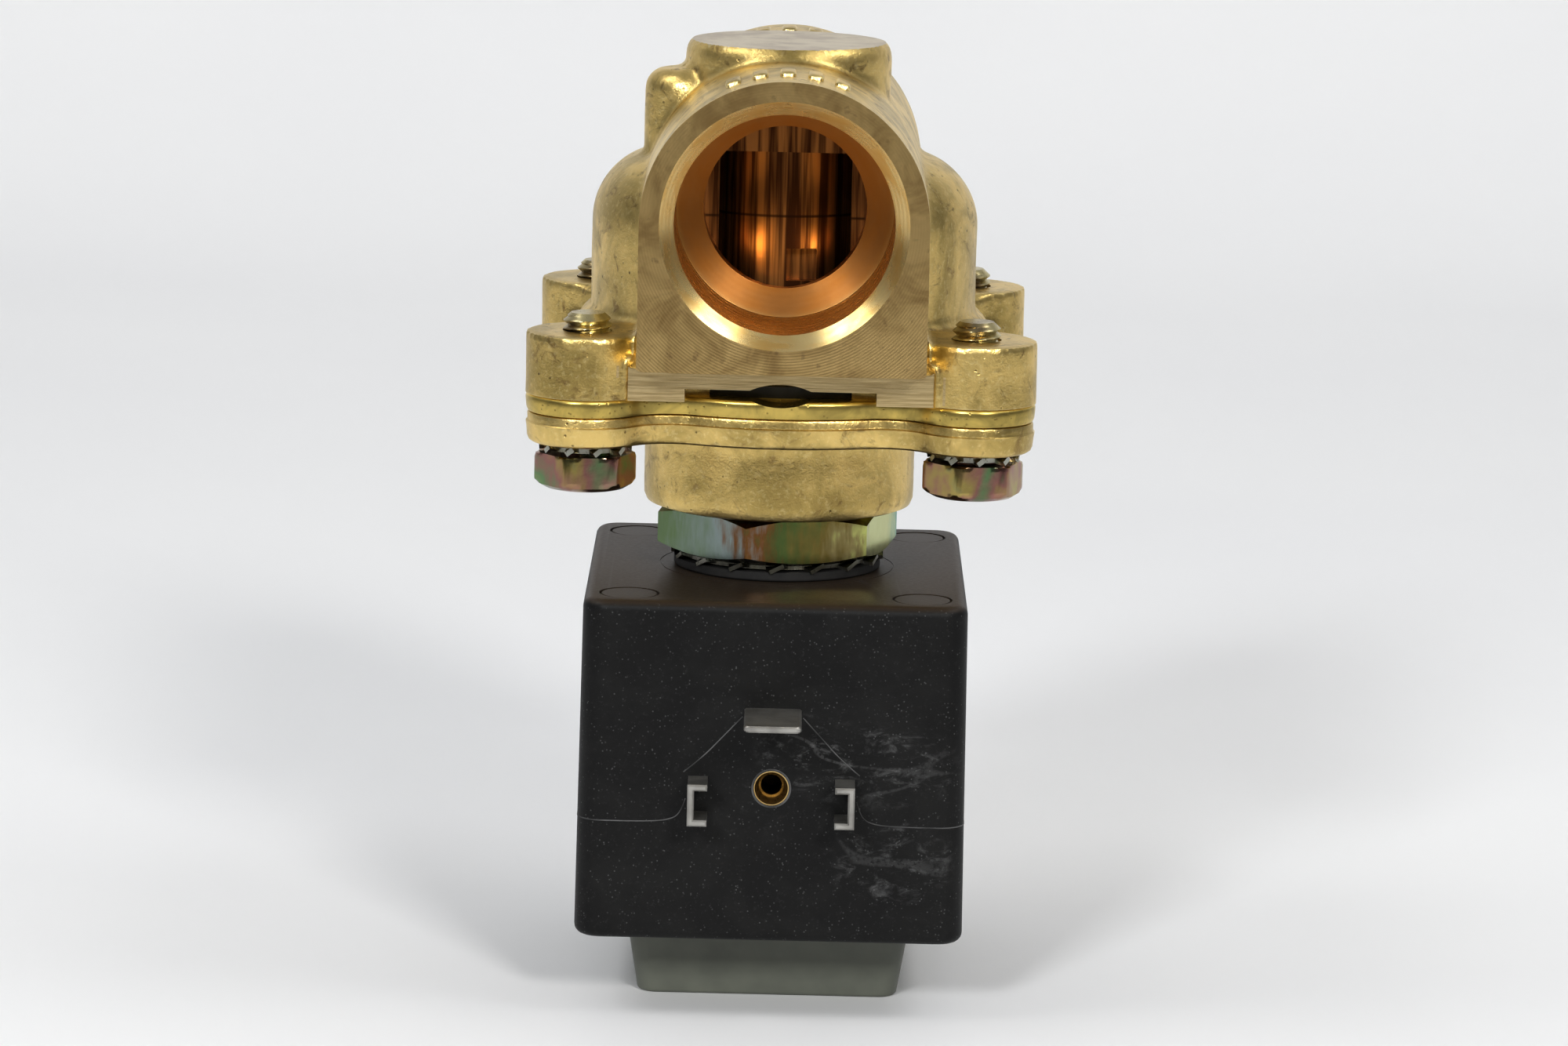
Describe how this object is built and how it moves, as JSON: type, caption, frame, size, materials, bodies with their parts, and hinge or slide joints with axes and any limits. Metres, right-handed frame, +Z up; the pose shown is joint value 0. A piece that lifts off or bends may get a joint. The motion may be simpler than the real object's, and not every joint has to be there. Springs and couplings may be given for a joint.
{
  "type": "solenoid valve",
  "caption": "Servo-assisted solenoid valve with a brass two-port body, bolted cover, hexagon-nut core tube and a black plug-in coil, standing on the coil's cap.",
  "frame": {"origin": "centre of the flat foot of the coil's cap, on the core tube's axis", "axes": "+Z up the core tube towards the valve body, +Y out of the rear port, the coil's terminals at -Y"},
  "size_m": [0.0622, 0.0737, 0.1181],
  "materials": {
    "cast_brass": "satin as-cast brass with machined faces",
    "plate_brass": "satin rolled brass",
    "machined_brass": "turned brass",
    "chromated_steel": "yellow chromated zinc, iridescent",
    "tooth_steel": "bright zinc",
    "stainless": "ground stainless steel",
    "yoke_steel": "zinc-plated sheet steel",
    "copper": "enamelled copper",
    "seal_rubber": "matt black rubber",
    "coil_plastic": "black glass-filled moulding",
    "bobbin_plastic": "natural nylon",
    "tinned_metal": "dull tin plate",
    "cap_plastic": "grey-green moulded plastic"
  },
  "bodies": {
    "valve": {"valve_body": "cast_brass", "cover": "cast_brass", "intermediate_plate": "plate_brass", "plate_o_ring": "seal_rubber", "cover_bolts": "chromated_steel", "lock_washers": "tooth_steel", "pilot_seat": "machined_brass", "tube_hex_nut": "chromated_steel", "core_tube": "stainless", "tube_o_ring": "seal_rubber", "fixed_core": "stainless", "shading_ring": "copper", "coil_top_seal": "seal_rubber", "tube_lock_washer": "tooth_steel", "coil_nut_washer": "tooth_steel", "coil_nut": "chromated_steel", "coil_cap": "cap_plastic"},
    "diaphragm_group": {"diaphragm": "seal_rubber", "diaphragm_lower_disc": "stainless", "diaphragm_upper_disc": "machined_brass", "diaphragm_screw": "stainless", "diaphragm_nut": "stainless", "diaphragm_spring": "stainless"},
    "plunger_group": {"plunger": "stainless", "plunger_seal": "seal_rubber", "plunger_spring": "stainless"},
    "coil": {"coil_housing": "coil_plastic", "line_terminal_left": "tinned_metal", "line_terminal_right": "tinned_metal", "earth_terminal": "tinned_metal", "screw_insert": "machined_brass", "yoke": "yoke_steel", "bobbin": "bobbin_plastic", "winding": "copper"}
  },
  "joints": [
    {"name": "diaphragm_lift", "type": "slide", "parent": "valve", "child": "diaphragm_group", "axis": [0, 0, -1], "range_m": [0, 0.004], "deforming": ["diaphragm", "diaphragm_spring"]},
    {"name": "plunger_lift", "type": "slide", "parent": "valve", "child": "plunger_group", "axis": [0, 0, -1], "range_m": [0, 0.0024], "deforming": ["plunger_spring"]},
    {"name": "coil_swivel", "type": "hinge", "parent": "valve", "child": "coil", "pos_m": [0, 0, 0.03], "axis": [0, 0, 1], "continuous": true}
  ]
}
